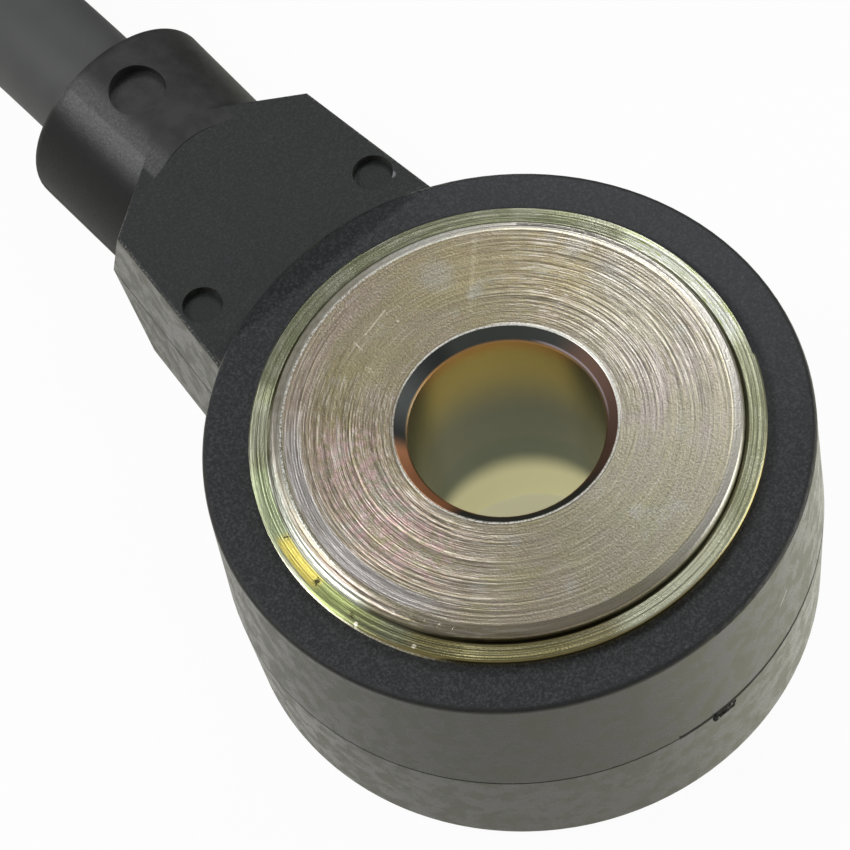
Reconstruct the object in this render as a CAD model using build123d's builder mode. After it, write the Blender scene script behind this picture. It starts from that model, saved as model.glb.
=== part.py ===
from build123d import *
import math
import os

# Engine knock sensor with its lead. It lies on the plain end of its bush, contact face up, in millimetres.
# The origin is the middle of the bolt bore, Z is the bolt's axis and the neck points along +Y.

# Turned steel bush
overall_height = 14.0
bolt_bore_diameter = 8.4
bore_chamfer = 0.5
land_diameter = 20.0
land_edge_round = 0.35
rim_diameter = 21.84
rim_edge_chamfer = 0.07
rim_drop = 0.46
rim_groove_width = 0.15
rim_groove_depth = 0.1
flange_thickness = 3.2
stem_diameter = 12.0
seal_groove_depth = 0.4
seal_groove_width = 0.5
flange_groove_drops = (1.7, 2.6)
stem_groove_rise = 1.1
bush_proud = 0.5

# Sensing stack, from the flange down
fit_clearance = 0.05
sleeve_wall = 0.3
insulator_diameter = 19.4
insulator_thickness = 0.25
contact_diameter = 18.8
contact_thickness = 0.3
piezo_diameter = 18.8
piezo_height = 2.2
mass_diameter = 20.0
mass_height = 3.0
mass_chamfer = 0.3
spring_diameter = 18.6
spring_thickness = 0.5
spring_loaded_height = 0.7
nut_diameter = 18.0
nut_height = 1.8
nut_slot_count = 6
nut_slot_width = 2.0
nut_slot_depth = 1.0

# Contact tabs and what is joined to them
tab_width = 1.6
tab_drop_gap = 1.1
tab_foot_length = 2.0
crimp_length = 2.4
crimp_wall = 0.35
resistor_length = 3.2
resistor_width = 1.2
resistor_height = 0.5

# Moulded housing
housing_drop = 0.95
housing_top_diameter = 25.94
parting_diameter = 26.04
housing_base_diameter = 25.3
housing_top_round = 0.25
housing_base_round = 0.3
parting_height = 6.3
neck_drop = 2.85
neck_height = 9.05
neck_length = 21.9
neck_end_width = 10.56
neck_side_angle = 6.0
neck_back_angle = 34.0
neck_tip_width = 4.0
neck_edge_round = 0.16
neck_top_slope_run = 1.32
neck_base_slope_run = 1.7
throat_inset = 0.4
throat_round = 3.5
step_round = 1.5
boss_drop = 7.3
boss_end_diameter = 9.6
boss_draft = 0.8
boss_length = 28.3
boss_end_round = 0.5
pin_mark_diameter = 1.8
pin_mark_depth = 0.35
pin_mark_spread = 9.7
pin_mark_distance = 14.95
boss_mark_diameter = 2.6
boss_mark_depth = 0.55
boss_mark_distance = 25.5

# Round lead with two cores
cable_diameter = 5.6
cable_hold = 8.8
core_spacing = 2.6
core_diameter = 1.9
conductor_diameter = 1.0
core_strip_length = 1.3
lead_lift = 0.05

# Put-away coil of the lead
coil_centre = (27.0, 66.0)
coil_inner_turn_radius = 25.2
coil_turn_pitch = 5.6

# Sealed two-way connector at the lead's far end
connector_rear = 35.0
plug_width = 18.0
plug_height = 16.8
plug_length = 26.0
plug_corner = 4.0
plug_wall = 1.4
plug_gap = 1.8
plug_gap_depth = 15.0
plug_core_setback = 1.5
terminal_spacing = 5.0
terminal_width = 2.6
terminal_height = 2.0
terminal_length = 11.0
terminal_setback = 3.0
terminal_play = 0.1
blade_slot_width = 2.0
blade_slot_height = 0.8
terminal_crimp_length = 3.0
wire_seal_diameter = 4.2
wire_seal_length = 4.5
wire_seal_ribs = 3
wire_seal_rib_depth = 0.25
face_seal_thickness = 1.2
face_seal_length = 3.0
wire_lead_in = 1.4
retainer_thickness = 1.5
cap_length = 8.0
cap_grip = 2.0
cap_wall = 1.4
cap_taper_length = 6.0
cap_neck_diameter = 8.4
cap_neck_length = 3.6
cap_groove_width = 0.7
cap_groove_depth = 0.5
cap_groove_pitch = 1.5
latch_width = 7.0
latch_thickness = 1.3
latch_rise = 1.5
latch_root_length = 4.0
latch_length = 17.0
latch_window = 3.0
latch_ridge_count = 4
latch_ridge_width = 0.6
latch_ridge_rise = 0.4
latch_ridge_pitch = 1.3
latch_guard_width = 1.4
latch_guard_gap = 0.7
latch_guard_height = 2.8
key_rib_width = 1.6
key_rib_rise = 0.8
key_rib_length = 17.0
key_rib_spread = 6.4

# Heights that several pieces share
top_z = overall_height / 2
floor_z = -overall_height / 2
rim_z = top_z - rim_drop
flange_base_z = top_z - flange_thickness
housing_top_z = top_z - housing_drop
housing_base_z = floor_z + bush_proud
parting_z = floor_z + parting_height
neck_top_z = top_z - neck_drop
neck_base_z = neck_top_z - neck_height
cable_z = top_z - boss_drop
sleeve_radius = stem_diameter / 2 + sleeve_wall
stack_bore_radius = sleeve_radius + fit_clearance

os.makedirs("parts", exist_ok=True)

# Turned blank of the bush, without its bore, which the moulding also closes round
with BuildPart() as bush_blank:
    with BuildSketch(Plane.XZ):
        with BuildLine():
            land, rim, stem = land_diameter / 2, rim_diameter / 2, stem_diameter / 2
            Polyline(
                (0, floor_z),
                (stem, floor_z),
                (stem, flange_base_z),
                (rim, flange_base_z),
                (rim, rim_z - rim_edge_chamfer),
                (rim - rim_edge_chamfer, rim_z),
                (land + rim_groove_width, rim_z),
                (land, rim_z - rim_groove_depth),
                (land, top_z),
                (0, top_z),
                close=True,
            )
        make_face()
        with Locations(*[(rim, top_z - drop) for drop in flange_groove_drops]):
            Rectangle(2 * seal_groove_depth, seal_groove_width, mode=Mode.SUBTRACT)
        with Locations((stem, floor_z + stem_groove_rise)):
            Rectangle(2 * seal_groove_depth, seal_groove_width, mode=Mode.SUBTRACT)
    revolve(axis=Axis.Z)
    fillet(bush_blank.faces().sort_by(Axis.Z)[-1].edges(), land_edge_round)

# The bush itself: the blank bored for the bolt, with both mouths chamfered
with BuildPart() as bush:
    add(bush_blank.part)
    Hole(bolt_bore_diameter / 2)
    bore_mouths = bush.edges().filter_by(GeomType.CIRCLE).sort_by(SortBy.RADIUS)[0:2]
    chamfer(bore_mouths, bore_chamfer)
bush.part.label = "bush"
export_step(bush.part, "parts/bush.step")

# Heights of the stack, from the flange's underside down to the ring nut
upper_insulator_z = flange_base_z - insulator_thickness
upper_contact_z = upper_insulator_z - contact_thickness
piezo_z = upper_contact_z - piezo_height
lower_contact_z = piezo_z - contact_thickness
lower_insulator_z = lower_contact_z - insulator_thickness
mass_z = lower_insulator_z - mass_height
spring_z = mass_z - spring_loaded_height
nut_z = spring_z - nut_height

# Insulating sleeve round the stem, which keeps the contacts off the bush
with BuildPart() as insulating_sleeve:
    with BuildSketch(Plane.XY.offset(mass_z)):
        Circle(sleeve_radius)
        Circle(stem_diameter / 2, mode=Mode.SUBTRACT)
    extrude(amount=flange_base_z - mass_z)
insulating_sleeve.part.label = "insulating_sleeve"
export_step(insulating_sleeve.part, "parts/insulating_sleeve.step")

# Two thin insulating discs, one against the flange and one on the seismic mass
for name, base_z in (("upper_insulator", upper_insulator_z), ("lower_insulator", lower_insulator_z)):
    with BuildPart() as insulator:
        with BuildSketch(Plane.XY.offset(base_z)):
            Circle(insulator_diameter / 2)
            Circle(stack_bore_radius, mode=Mode.SUBTRACT)
        extrude(amount=insulator_thickness)
    insulator.part.label = name
    export_step(insulator.part, f"parts/{name}.step")

# Tabs lie side by side along the neck, one over each core of the lead
tab_x = core_spacing / 2
tab_drop_y = mass_diameter / 2 + tab_drop_gap
crimp_y = tab_drop_y + tab_foot_length
crimp_radius = conductor_diameter / 2 + crimp_wall
foot_z = cable_z - contact_thickness / 2

# Contact discs, each stamped with a tab that bends to the lead's height and ends in a crimp
contacts = {}
for name, base_z, side in (("upper_contact", upper_contact_z, -1), ("lower_contact", lower_contact_z, 1)):
    with BuildPart() as contact:
        with BuildSketch(Plane.XY.offset(base_z)):
            Circle(contact_diameter / 2)
            with Locations((side * tab_x, (tab_drop_y + contact_thickness) / 2)):
                Rectangle(tab_width, tab_drop_y + contact_thickness)
            Circle(stack_bore_radius, mode=Mode.SUBTRACT)
        extrude(amount=contact_thickness)
        with BuildSketch(Plane.XY.offset(foot_z)):
            with Locations((side * tab_x, tab_drop_y + contact_thickness / 2)):
                Rectangle(tab_width, contact_thickness)
        extrude(amount=base_z + contact_thickness - foot_z)
        with BuildSketch(Plane.XY.offset(foot_z)):
            with Locations((side * tab_x, (tab_drop_y + crimp_y + crimp_wall) / 2)):
                Rectangle(tab_width, crimp_y + crimp_wall - tab_drop_y)
        extrude(amount=contact_thickness)
        with BuildSketch(Plane(origin=(side * tab_x, crimp_y, cable_z), z_dir=(0, 1, 0))):
            Circle(crimp_radius)
        extrude(amount=crimp_length)
        with BuildSketch(Plane(origin=(side * tab_x, crimp_y, cable_z), z_dir=(0, 1, 0))):
            Circle(conductor_diameter / 2)
        extrude(amount=crimp_length, mode=Mode.SUBTRACT)
    contact.part.label = name
    export_step(contact.part, f"parts/{name}.step")
    contacts[name] = contact.part

# Piezo ring, pressed between the two contacts
with BuildPart() as piezo_ring:
    with BuildSketch(Plane.XY.offset(piezo_z)):
        Circle(piezo_diameter / 2)
        Circle(stack_bore_radius, mode=Mode.SUBTRACT)
    extrude(amount=piezo_height)
piezo_ring.part.label = "piezo_ring"
export_step(piezo_ring.part, "parts/piezo_ring.step")

# Seismic mass, a steel ring with broken edges
with BuildPart() as seismic_mass:
    with BuildSketch(Plane.XY.offset(mass_z)):
        Circle(mass_diameter / 2)
        Circle(stack_bore_radius, mode=Mode.SUBTRACT)
    extrude(amount=mass_height)
    outer_edges = seismic_mass.edges().filter_by(GeomType.CIRCLE).sort_by(SortBy.RADIUS)[-2:]
    chamfer(outer_edges, mass_chamfer)
seismic_mass.part.label = "seismic_mass"
export_step(seismic_mass.part, "parts/seismic_mass.step")

# Disc spring, a shallow cone that bears on the mass outside and on the nut inside
with BuildPart() as disc_spring:
    with BuildSketch(Plane.XZ):
        with BuildLine():
            Polyline(
                (stack_bore_radius, spring_z),
                (stack_bore_radius, spring_z + spring_thickness),
                (spring_diameter / 2, mass_z),
                (spring_diameter / 2, mass_z - spring_thickness),
                close=True,
            )
        make_face()
    revolve(axis=Axis.Z)
disc_spring.part.label = "disc_spring"
export_step(disc_spring.part, "parts/disc_spring.step")

# Ring nut with key slots round its edge, screwed onto the stem
with BuildPart() as ring_nut:
    with BuildSketch(Plane.XY.offset(nut_z)):
        Circle(nut_diameter / 2)
        Circle(stem_diameter / 2, mode=Mode.SUBTRACT)
        with PolarLocations(nut_diameter / 2, nut_slot_count):
            Rectangle(2 * nut_slot_depth, nut_slot_width, mode=Mode.SUBTRACT)
    extrude(amount=nut_height)
ring_nut.part.label = "ring_nut"
export_step(ring_nut.part, "parts/ring_nut.step")

# Discharge resistor, soldered across the feet of the two tabs
resistor_y = (tab_drop_y + contact_thickness + crimp_y) / 2
with BuildPart() as discharge_resistor:
    with BuildSketch(Plane.XY.offset(foot_z + contact_thickness)):
        with Locations((0, resistor_y)):
            Rectangle(resistor_length, resistor_width)
    extrude(amount=resistor_height)
discharge_resistor.part.label = "discharge_resistor"
export_step(discharge_resistor.part, "parts/discharge_resistor.step")

# Cores of the lead at the sensor: a copper conductor in the crimp and insulation back to the jacket
jacket_start_y = boss_length - cable_hold
insulation_y = crimp_y + crimp_length + core_strip_length
cores = {}
for name, side in (("left", -1), ("right", 1)):
    with BuildPart() as conductor:
        with BuildSketch(Plane(origin=(side * tab_x, crimp_y, cable_z), z_dir=(0, 1, 0))):
            Circle(conductor_diameter / 2)
        extrude(amount=jacket_start_y - crimp_y)
    conductor.part.label = f"conductor_{name}"
    export_step(conductor.part, f"parts/conductor_{name}.step")
    with BuildPart() as insulation:
        with BuildSketch(Plane(origin=(side * tab_x, insulation_y, cable_z), z_dir=(0, 1, 0))):
            Circle(core_diameter / 2)
            Circle(conductor_diameter / 2, mode=Mode.SUBTRACT)
        extrude(amount=jacket_start_y - insulation_y)
    insulation.part.label = f"core_insulation_{name}"
    export_step(insulation.part, f"parts/core_insulation_{name}.step")
    cores[name] = (conductor.part, insulation.part)

# Coil of the lead: two turns side by side on the floor and a half turn on top, as one closed outer shape
lying_z = floor_z + cable_diameter / 2
upper_turn_z = lying_z + cable_diameter
outer_turn_radius = coil_inner_turn_radius + coil_turn_pitch
top_turn_radius = coil_inner_turn_radius + coil_turn_pitch / 2
coil_x, coil_y = coil_centre
with BuildPart() as cable_coil:
    with BuildSketch(Plane(origin=(coil_x, coil_y, 0), x_dir=(1, 0, 0), z_dir=(0, -1, 0))):
        turn_centres = (
            (coil_inner_turn_radius, lying_z),
            (outer_turn_radius, lying_z),
            (top_turn_radius, upper_turn_z),
        )
        with Locations(*turn_centres):
            Circle(cable_diameter / 2)
        make_hull()
    revolve(axis=Axis((coil_x, coil_y, 0), (0, 0, 1)))
cable_coil.part.label = "cable_coil"
export_step(cable_coil.part, "parts/cable_coil.step")


# A round lead along straight runs joined by tangent arcs, each as large as its runs allow
def corner_radii(points):
    """Returns the radius at each inner point: 0.45 of the shorter run over the tangent of half the turn."""
    radii = []
    for before, corner, after in zip(points, points[1:], points[2:]):
        arriving, leaving = Vector(*corner) - Vector(*before), Vector(*after) - Vector(*corner)
        half_turn = math.radians(arriving.get_angle(leaving)) / 2
        radii.append(0.45 * min(arriving.length, leaving.length) / math.tan(half_turn))
    return radii


# From inside the boss, straight out, down to the floor and on into the coil's outer turn
lead_z = lying_z + lead_lift
lead_route = [
    (0, jacket_start_y, cable_z),
    (0, 31.5, cable_z),
    (0.4, 44.5, lead_z),
    (0, 55.0, lead_z),
]
lead_radii = corner_radii(lead_route)
with BuildPart() as cable_lead:
    with BuildLine():
        lead_path = FilletPolyline(*lead_route, radius=lead_radii)
    with BuildSketch(Plane(origin=lead_path @ 0, z_dir=lead_path % 0)):
        Circle(cable_diameter / 2)
    sweep()
    lead_volume = cable_lead.part.volume
    add(cable_coil.part, mode=Mode.SUBTRACT)
cable_lead.part.label = "cable_lead"
export_step(cable_lead.part, "parts/cable_lead.step")
lead_share = lead_volume / (lead_path.length * math.pi * cable_diameter**2 / 4)
print("lead radii", [round(radius, 1) for radius in lead_radii])
print("lead volume over section times length", round(lead_share, 4))

# From the coil's top turn, straight over the turns below into the connector's cap
tail_x = coil_x + top_turn_radius
tail_start_y = coil_y - 2 * cable_diameter
tail_end_y = connector_rear - cap_grip
with BuildPart() as cable_tail:
    with BuildSketch(Plane(origin=(tail_x, tail_start_y, upper_turn_z), z_dir=(0, -1, 0))):
        Circle(cable_diameter / 2)
    extrude(amount=tail_start_y - tail_end_y)
    add(cable_coil.part, mode=Mode.SUBTRACT)
cable_tail.part.label = "cable_tail"
export_step(cable_tail.part, "parts/cable_tail.step")

# Moulded cap over the connector's rear, tapering to a neck that grips the jacket
cap_front_y = connector_rear - cap_length
cap_radius = plug_height / 2 - plug_wall / 2
cap_neck_y = connector_rear + cap_taper_length
cap_rear_y = cap_neck_y + cap_neck_length
cap_groove_ys = [cap_neck_y + step * cap_groove_pitch for step in range(3)]
with BuildPart() as connector_cap:
    with BuildSketch(Plane(origin=(tail_x, 0, upper_turn_z), x_dir=(0, 1, 0), z_dir=(0, 0, 1))):
        with BuildLine():
            Polyline(
                (cap_front_y, 0),
                (cap_front_y, cap_radius),
                (connector_rear, cap_radius),
                (cap_neck_y, cap_neck_diameter / 2),
                (cap_rear_y, cap_neck_diameter / 2),
                (cap_rear_y, 0),
                close=True,
            )
        make_face()
        with Locations(*[(y, cap_neck_diameter / 2) for y in cap_groove_ys]):
            Rectangle(cap_groove_width, 2 * cap_groove_depth, mode=Mode.SUBTRACT)
        with BuildLine():
            Polyline(
                (cap_front_y, 0),
                (cap_front_y, cap_radius - cap_wall),
                (tail_end_y, cap_radius - cap_wall),
                (tail_end_y, 0),
                close=True,
            )
        make_face(mode=Mode.SUBTRACT)
    revolve(axis=Axis((tail_x, 0, upper_turn_z), (0, 1, 0)))
    with BuildSketch(Plane(origin=(tail_x, tail_end_y, upper_turn_z), z_dir=(0, 1, 0))):
        Circle(cable_diameter / 2)
    extrude(amount=cap_rear_y - tail_end_y, mode=Mode.SUBTRACT)
connector_cap.part.label = "connector_cap"
export_step(connector_cap.part, "parts/connector_cap.step")


# Cross-sections of the connector, looking from its rear towards its mating face
def plug_section(y):
    """Returns the plane across the connector at y, with its normal towards the mating face."""
    return Plane(origin=(tail_x, y, upper_turn_z), x_dir=(1, 0, 0), z_dir=(0, -1, 0))


plug_front_y = cap_front_y - plug_length
core_front_y = plug_front_y + plug_core_setback + retainer_thickness
gap_end_y = plug_front_y + plug_gap_depth
seal_front_y = cap_front_y - wire_seal_length
plug_core_width = plug_width - 2 * (plug_wall + plug_gap)
plug_core_height = plug_height - 2 * (plug_wall + plug_gap)
plug_core_corner = plug_corner - plug_wall
terminal_x = (-terminal_spacing / 2, terminal_spacing / 2)

# Plug body: an outer shroud round a core, open between them for the mating wall, with a latch on top
with BuildPart() as plug_body:
    with BuildSketch(plug_section(cap_front_y)):
        RectangleRounded(plug_width, plug_height, plug_corner)
    extrude(amount=plug_length)
    with BuildSketch(plug_section(gap_end_y)):
        RectangleRounded(plug_width - 2 * plug_wall, plug_height - 2 * plug_wall, plug_core_corner)
        RectangleRounded(plug_core_width, plug_core_height, plug_core_corner / 2, mode=Mode.SUBTRACT)
    extrude(amount=plug_gap_depth, mode=Mode.SUBTRACT)
    with BuildSketch(plug_section(core_front_y)):
        Rectangle(plug_core_width, plug_core_height)
    extrude(amount=plug_gap_depth, mode=Mode.SUBTRACT)
    with BuildSketch(plug_section(seal_front_y)):
        with Locations(*[(x, 0) for x in terminal_x]):
            Rectangle(terminal_width + 2 * terminal_play, terminal_height + 2 * terminal_play)
    extrude(amount=plug_length, mode=Mode.SUBTRACT)
    with BuildSketch(plug_section(cap_front_y)):
        with Locations(*[(x, 0) for x in terminal_x]):
            Circle(wire_seal_diameter / 2)
    extrude(amount=wire_seal_length, mode=Mode.SUBTRACT)
    latch_base = plug_height / 2 + latch_rise
    with BuildSketch(plug_section(cap_front_y)):
        with Locations((0, (plug_height / 2 - plug_wall + latch_base) / 2)):
            Rectangle(latch_width, latch_base - plug_height / 2 + plug_wall)
    extrude(amount=latch_root_length)
    with BuildSketch(plug_section(cap_front_y)):
        with Locations((0, latch_base + latch_thickness / 2)):
            Rectangle(latch_width, latch_thickness)
    extrude(amount=latch_length)
    window_y = cap_front_y - latch_length + latch_window
    with BuildSketch(Plane(origin=(tail_x, window_y, upper_turn_z + latch_base), z_dir=(0, 0, 1))):
        Rectangle(latch_window, latch_window)
    extrude(amount=latch_thickness, mode=Mode.SUBTRACT)
    # Finger ridges across the latch's rear
    latch_top_z = upper_turn_z + latch_base + latch_thickness
    ridge_ys = [cap_front_y - (step + 1) * latch_ridge_pitch for step in range(latch_ridge_count)]
    with BuildSketch(Plane(origin=(tail_x, 0, latch_top_z), z_dir=(0, 0, 1))):
        with Locations(*[(0, y) for y in ridge_ys]):
            Rectangle(latch_width, latch_ridge_width)
    extrude(amount=latch_ridge_rise)
    # Guard rails beside the latch
    guard_x = latch_width / 2 + latch_guard_gap + latch_guard_width / 2
    guard_top = plug_height / 2 + latch_guard_height
    with BuildSketch(plug_section(cap_front_y)):
        with Locations(*[(side * guard_x, (plug_height / 2 - plug_wall + guard_top) / 2) for side in (-1, 1)]):
            Rectangle(latch_guard_width, guard_top - plug_height / 2 + plug_wall)
    extrude(amount=latch_length)
    # Keying ribs along both sides, from the mouth
    rib_middle = (plug_width - plug_wall + key_rib_rise) / 2
    rib_places = [(side * rib_middle, rise * key_rib_spread / 2) for side in (-1, 1) for rise in (-1, 1)]
    with BuildSketch(plug_section(plug_front_y + key_rib_length)):
        with Locations(*rib_places):
            Rectangle(plug_wall + key_rib_rise, key_rib_width)
    extrude(amount=key_rib_length)
plug_body.part.label = "plug_body"
export_step(plug_body.part, "parts/plug_body.step")

# Retainer plate on the core's face, slotted for the mating blades
with BuildPart() as terminal_retainer:
    with BuildSketch(plug_section(core_front_y)):
        RectangleRounded(plug_core_width, plug_core_height, plug_core_corner / 2)
        with Locations(*[(x, 0) for x in terminal_x]):
            Rectangle(blade_slot_width, blade_slot_height, mode=Mode.SUBTRACT)
    extrude(amount=retainer_thickness)
terminal_retainer.part.label = "terminal_retainer"
export_step(terminal_retainer.part, "parts/terminal_retainer.step")

# Seal round the core, at the bottom of the gap
with BuildPart() as face_seal:
    with BuildSketch(plug_section(gap_end_y)):
        RectangleRounded(
            plug_core_width + 2 * face_seal_thickness,
            plug_core_height + 2 * face_seal_thickness,
            plug_core_corner / 2 + face_seal_thickness,
        )
        RectangleRounded(plug_core_width, plug_core_height, plug_core_corner / 2, mode=Mode.SUBTRACT)
    extrude(amount=face_seal_length)
face_seal.part.label = "face_seal"
export_step(face_seal.part, "parts/face_seal.step")

# Wires inside the connector: each core spreads from the jacket to its own terminal
terminal_rear_y = core_front_y + terminal_length
crimp_rear_y = terminal_rear_y + terminal_crimp_length
bare_end_y = crimp_rear_y + core_strip_length
for name, x, side in (("left", terminal_x[0], -1), ("right", terminal_x[1], 1)):
    # Receptacle with its blade slot and a crimp behind it
    with BuildPart() as terminal:
        with BuildSketch(plug_section(terminal_rear_y)):
            with Locations((x, 0)):
                Rectangle(terminal_width, terminal_height)
        extrude(amount=terminal_length)
        with BuildSketch(plug_section(core_front_y)):
            with Locations((x, 0)):
                Rectangle(blade_slot_width, blade_slot_height)
        extrude(amount=terminal_setback - terminal_length, mode=Mode.SUBTRACT)
        with BuildSketch(plug_section(crimp_rear_y)):
            with Locations((x, 0)):
                Circle(crimp_radius)
        extrude(amount=terminal_crimp_length)
        with BuildSketch(plug_section(crimp_rear_y)):
            with Locations((x, 0)):
                Circle(conductor_diameter / 2)
        extrude(amount=terminal_crimp_length, mode=Mode.SUBTRACT)
    terminal.part.label = f"terminal_{name}"
    export_step(terminal.part, f"parts/terminal_{name}.step")

    # Core insulation from the jacket's end, spread to the terminal's pitch, and through the wire seal
    straight_y = cap_front_y + wire_lead_in
    splay_route = [
        (tail_x + side * core_spacing / 2, tail_end_y, upper_turn_z),
        (tail_x + side * core_spacing / 2, tail_end_y - wire_lead_in, upper_turn_z),
        (tail_x + x, straight_y, upper_turn_z),
        (tail_x + x, bare_end_y, upper_turn_z),
    ]
    with BuildPart() as plug_wire:
        with BuildLine():
            splay_path = FilletPolyline(*splay_route, radius=corner_radii(splay_route))
        with BuildSketch(Plane(origin=splay_path @ 0, z_dir=splay_path % 0)):
            Circle(core_diameter / 2)
        sweep()
    plug_wire.part.label = f"plug_wire_{name}"
    export_step(plug_wire.part, f"parts/plug_wire_{name}.step")

    # Bare strands from the insulation's end to the crimp
    with BuildPart() as plug_strands:
        with BuildSketch(plug_section(bare_end_y)):
            with Locations((x, 0)):
                Circle(conductor_diameter / 2)
        extrude(amount=bare_end_y - terminal_rear_y)
    plug_strands.part.label = f"plug_strands_{name}"
    export_step(plug_strands.part, f"parts/plug_strands_{name}.step")

    # Ribbed rubber seal on the wire
    with BuildPart() as wire_seal:
        with BuildSketch(plug_section(cap_front_y)):
            with Locations((x, 0)):
                Circle(wire_seal_diameter / 2 - wire_seal_rib_depth)
                Circle(core_diameter / 2, mode=Mode.SUBTRACT)
        extrude(amount=wire_seal_length)
        rib_width = wire_seal_length / (2 * wire_seal_ribs)
        for rib in range(wire_seal_ribs):
            with BuildSketch(plug_section(cap_front_y - (2 * rib + 0.5) * rib_width)):
                with Locations((x, 0)):
                    Circle(wire_seal_diameter / 2)
                    Circle(core_diameter / 2, mode=Mode.SUBTRACT)
            extrude(amount=rib_width)
    wire_seal.part.label = f"wire_seal_{name}"
    export_step(wire_seal.part, f"parts/wire_seal_{name}.step")

# Plan of the neck at its parting: sides that draw together, a back cut at a slant, and rounds into the ring
neck_end_x = neck_end_width / 2
neck_root_x = neck_end_x + neck_length * math.tan(math.radians(neck_side_angle))
neck_tip_x = neck_tip_width / 2
back_slant = math.tan(math.radians(neck_back_angle))
neck_tip_y = neck_length + (neck_end_x - neck_tip_x) * back_slant
with BuildSketch() as neck_plan:
    with BuildLine():
        Polyline(
            (-neck_root_x, 0),
            (neck_root_x, 0),
            (neck_end_x, neck_length),
            (neck_tip_x, neck_tip_y),
            (-neck_tip_x, neck_tip_y),
            (-neck_end_x, neck_length),
            close=True,
        )
    make_face()
    Circle(parting_diameter / 2 - throat_inset)
    corners = neck_plan.vertices().sort_by(Axis.Y)
    fillet(corners[-6:-4], throat_round)

# The slanted back alone, on a plan that is wider than the neck
back_reach = parting_diameter
back_reach_y = neck_tip_y - (back_reach - neck_tip_x) * back_slant
with BuildSketch() as back_plan:
    with BuildLine():
        Polyline(
            (-back_reach, -back_reach),
            (back_reach, -back_reach),
            (back_reach, back_reach_y),
            (neck_tip_x, neck_tip_y),
            (-neck_tip_x, neck_tip_y),
            (-back_reach, back_reach_y),
            close=True,
        )
    make_face()


def neck_half(rise, slope_run):
    """Returns the neck from its parting up or down by rise, with a back that slopes in by slope_run."""
    with BuildPart() as half:
        with BuildSketch(Plane.XY.offset(parting_z)):
            add(neck_plan.sketch)
        extrude(amount=rise)
        with BuildSketch(Plane.XY.offset(parting_z)):
            add(back_plan.sketch)
        back_slope = math.degrees(math.atan(slope_run / abs(rise)))
        extrude(amount=rise, taper=back_slope, mode=Mode.INTERSECT)
    return half.part


neck_lower = neck_half(neck_base_z - parting_z, neck_base_slope_run)

# The upper half gets softened edges round its flat top
with BuildPart() as neck_upper:
    add(neck_half(neck_top_z - parting_z, neck_top_slope_run))
    fillet(neck_upper.faces().sort_by(Axis.Z)[-1].edges(), neck_edge_round)

# Cove that eases the ring's wall down onto the neck's flat top, as wide as the flat
ring_radius = housing_top_diameter / 2
with BuildPart() as cove:
    with BuildSketch(Plane.XZ):
        with BuildLine():
            cove_foot = (ring_radius + step_round, neck_top_z)
            cove_head = (ring_radius, neck_top_z + step_round)
            TangentArc(cove_foot, cove_head, tangent=(-1, 0))
            Polyline(cove_head, (0, neck_top_z + step_round), (0, neck_top_z), cove_foot)
        make_face()
    revolve(axis=Axis.Z)
    with BuildSketch(Plane.XY.offset(neck_top_z)):
        add(neck_plan.sketch)
        offset(amount=-neck_edge_round, mode=Mode.REPLACE)
    extrude(amount=step_round, mode=Mode.INTERSECT)

# Diameter, lowest height and thickness of the room that each ring of the stack takes in the moulding
stack_rooms = (
    (insulator_diameter, upper_insulator_z, insulator_thickness),
    (contact_diameter, upper_contact_z, contact_thickness),
    (piezo_diameter, piezo_z, piezo_height),
    (contact_diameter, lower_contact_z, contact_thickness),
    (insulator_diameter, lower_insulator_z, insulator_thickness),
    (mass_diameter, mass_z, mass_height),
    (spring_diameter, spring_z, spring_loaded_height),
    (nut_diameter, nut_z, nut_height),
)

# Housing moulded round the bush, the stack, the crimps and the lead's end
with BuildPart() as housing:
    with BuildSketch(Plane.XZ):
        with BuildLine():
            Polyline(
                (0, housing_base_z),
                (housing_base_diameter / 2, housing_base_z),
                (parting_diameter / 2, parting_z),
                (housing_top_diameter / 2, housing_top_z),
                (0, housing_top_z),
                close=True,
            )
        make_face()
    revolve(axis=Axis.Z)
    add(neck_upper.part)
    add(neck_lower)
    with BuildSketch(Plane(origin=(0, boss_length, cable_z), z_dir=(0, -1, 0))):
        Circle(boss_end_diameter / 2)
    extrude(amount=boss_length, taper=boss_draft)
    add(cove.part)

    # Rounds on the boss's end and on the ring's upper and lower edges
    circles = housing.edges().filter_by(GeomType.CIRCLE)
    fillet(circles.sort_by(Axis.Y)[-1], boss_end_round)
    fillet(circles.group_by(Axis.Z)[-1], housing_top_round)
    fillet(circles.group_by(Axis.Z)[0], housing_base_round)

    # Round marks of the mould's ejector pins
    with Locations(*[(side * pin_mark_spread / 2, pin_mark_distance, neck_top_z) for side in (-1, 1)]):
        Hole(pin_mark_diameter / 2, pin_mark_depth)
    boss_crest_z = cable_z + boss_end_diameter / 2
    with Locations((0, boss_mark_distance, boss_crest_z)):
        Hole(boss_mark_diameter / 2, boss_mark_depth)

    # Room for everything that is moulded in
    add(bush_blank.part, mode=Mode.SUBTRACT)
    for diameter, base_z, height in stack_rooms:
        with BuildSketch(Plane.XY.offset(base_z)):
            Circle(diameter / 2)
        extrude(amount=height, mode=Mode.SUBTRACT)
    joined_parts = (discharge_resistor.part, *cores["left"], *cores["right"], cable_lead.part)
    for moulded_in in (*contacts.values(), *joined_parts):
        add(moulded_in, mode=Mode.SUBTRACT)
housing.part.label = "housing"
export_step(housing.part, "parts/housing.step")
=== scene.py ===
# %% [markdown]
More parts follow.
